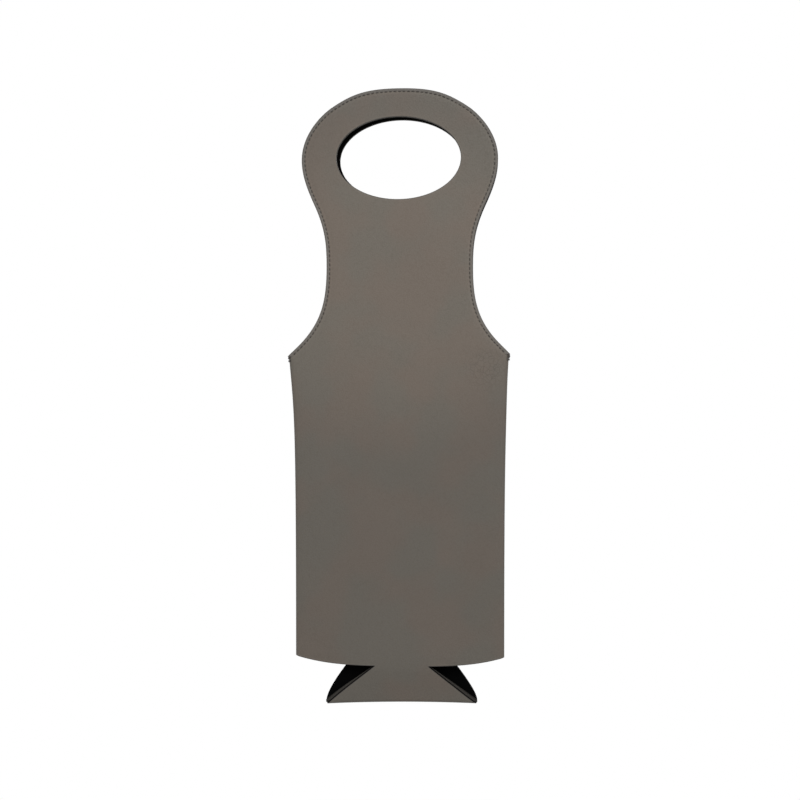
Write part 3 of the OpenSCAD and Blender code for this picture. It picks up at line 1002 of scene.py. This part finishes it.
rowTree, tackTree = stitchTree(), wrapTree()
frontRow = edgeRows("frontEdgeStitches", True, stitch["seed"])
backRow = edgeRows("backEdgeStitches", False, stitch["seed"] + 10)
leftRow = seamRow("leftSeamStitches", -1, stitch["seed"] + 20)
rightRow = seamRow("rightSeamStitches", 1, stitch["seed"] + 30)
leftTack = barTack("leftBarTack", -1, seam["seed"])
rightTack = barTack("rightBarTack", 1, seam["seed"] + 1)


# the pocket is sewn a little askew: both shoulders lie to the left, and the right one is higher;
# rise and shift fall off over these lengths above the shoulders and below them

askew = {"aside": -0.8, "leftRise": 0.25, "rightRise": 1.75, "rise": (9, 6), "shift": (7, 28), "span": 28}


def fade(above, reach):
    return np.exp(-(above / np.where(above > 0, *reach)) ** 2)


def sewAskew(made):
    points = pointsOf(made)
    x, above = points[:, 0] / mm, points[:, 2] / mm - shoulderZ
    atSide = np.exp(-((cut["shoulderWidth"] / 2 - abs(x)) / askew["span"]) ** 2)
    rise = np.where(x > 0, askew["rightRise"], askew["leftRise"]) * atSide * fade(above, askew["rise"])
    points[:, 0] += askew["aside"] * fade(above, askew["shift"]) * mm
    points[:, 2] += rise * mm
    setPoints(made, points)


for made in (frontLeather, backLeather, frontLining, backLining, leftTurned, rightTurned,
             frontRow, backRow, leftRow, rightRow, leftTack, rightTack):
    sewAskew(made)
print("shoulders sewn askew")


# what each piece stands for, and how it moves

turns = ["left_side_skin", "right_side_skin"]
for made, body, nodes in (
    (frontLeather, "front_handle", ["front_panel_skin", "front_handle_skin", *turns]),
    (backLeather, "back_handle", ["back_panel_skin", "back_handle_skin", *turns]),
    (frontLining, "front_handle", ["front_panel_foam", "front_handle_foam"]),
    (backLining, "back_handle", ["back_panel_foam", "back_handle_foam"]),
    (frontRow, "front_handle", ["front_edge_stitching"]),
    (backRow, "back_handle", ["back_edge_stitching"]),
    (baseLeather, "base", ["base_skin"]),
    (baseLining, "base", ["base_foam"]),
):
    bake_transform(made)
    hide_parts(*nodes)
for made, node in (
    (leftTurned, "left_side_foam"), (rightTurned, "right_side_foam"), (leftRow, "left_seam_stitching"),
    (rightRow, "right_seam_stitching"), (leftTack, "left_bar_tack"), (rightTack, "right_bar_tack"),
):
    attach(made, "pocket")
    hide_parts(node)
# the studio, in metres

studio = {
    "distance": 0.905, "azimuth": 3.8, "height": -0.1612, "lens": 60.8, "world": 0.49,
    # each lamp's power, where it is and what it aims at
    "key": (8.2, (0.3, -1.2, 0.6), (0, 0, -0.12)), "fill": (9.5, (0.5, 1.2, 0.6), (0, 0, -0.15)),
    "pool": (5.6, (0, -1, -0.078), (0, 0, -0.078)), "poolColour": (1, 0.86, 0.74), "poolRadius": 0.118,
    # the paper: its level, where it starts to curve up, the radius of the curve and half its width
    "floor": -0.8, "curveAt": 1.4, "curve": 0.9, "halfPaper": 3.5, "paper": 0.55, "shadowReach": (0.9, 1.5),
}


def addAimed(name, data, where, aim):
    made = newObject(name, data)
    made.location = where
    made.rotation_euler = (Vector(aim) - Vector(where)).to_track_quat("-Z", "Y").to_euler()
    return made


def addCamera():
    data = bpy.data.cameras.new("camera")
    data.sensor_width, data.lens = 36, studio["lens"]
    data.clip_start, data.clip_end = 0.01, 50
    a, away, level = math.radians(studio["azimuth"]), studio["distance"], studio["height"]
    where = (away * math.sin(a), -away * math.cos(a), level)
    scene.camera = addAimed("camera", data, where, (0, 0, level))


def addLamp(name, kind, **settings):
    data = bpy.data.lights.new(name, kind)
    data.energy, where, aim = studio[name]
    for key, value in settings.items():
        setattr(data, key, value)
    addAimed(name, data, where, aim).visible_camera = False


def seen(g):
    # 1 for what the camera, a mirror or glass sees, and 0 for light that falls on the object
    path = g.make("ShaderNodeLightPath")
    either = g.maths("MAXIMUM", path.out("Is Camera Ray"), path.out("Is Glossy Ray"))
    return g.maths("MAXIMUM", either, path.out("Is Transmission Ray"))


def mixed(g, share, a, b):
    return g.make("ShaderNodeMixShader", {0: share, 1: a, 2: b})


def addWorld():
    world = bpy.data.worlds.new("studio")
    world.use_nodes = True
    g = Graph(world.node_tree)
    light = g.make("ShaderNodeBackground", {"Color": (1, 1, 1, 1), "Strength": studio["world"]})
    white = g.make("ShaderNodeBackground", {"Color": (1, 1, 1, 1), "Strength": 1.0})
    g.make("ShaderNodeOutputWorld", {"Surface": mixed(g, seen(g), light, white)})
    scene.world = world


def addFloor():
    made, g = newMaterial("floor")
    paint = g.make("ShaderNodeBsdfDiffuse", {"Color": (studio["paper"],) * 3})
    glow = g.make("ShaderNodeEmission", {"Color": (1, 1, 1, 1), "Strength": 1.0})
    # near the object the paper keeps its shadow, and further off it is plain white
    away = g.vector("LENGTH", g.place(), out="Value")
    share = seen(g) * g.step(away, *studio["shadowReach"], 0.82, 1.0)
    g.make("ShaderNodeOutputMaterial", {"Surface": mixed(g, share, paint, glow)})
    # a sheet of paper that lies under the object and curves up behind it
    start, radius, level = studio["curveAt"], studio["curve"], studio["floor"]
    side = [(-2.4, level), (start, level)]
    side += [(start + radius * math.sin(a), level + radius - radius * math.cos(a))
             for a in np.linspace(0.1, math.pi / 2, 14)]
    side.append((start + radius, 3.0))
    points = [(x, y, z) for y, z in side for x in (-studio["halfPaper"], studio["halfPaper"])]
    faces = [(2 * i, 2 * i + 1, 2 * i + 3, 2 * i + 2) for i in range(len(side) - 1)]
    floor = piece("floor", np.array(points) / mm, faces, {}, made)


scene.view_settings.view_transform = "Standard"
addCamera()
addWorld()
addFloor()
softBox = {"shape": "RECTANGLE", "size": 0.9, "size_y": 0.7}
addLamp("key", "AREA", **softBox)
addLamp("fill", "AREA", **softBox)
# a soft, warm pool of light on the handle, from a lamp a metre in front of it
addLamp("pool", "SPOT", color=studio["poolColour"], spot_size=2 * math.atan(studio["poolRadius"]),
        spot_blend=0.6, shadow_soft_size=0.03)
print("studio ready")
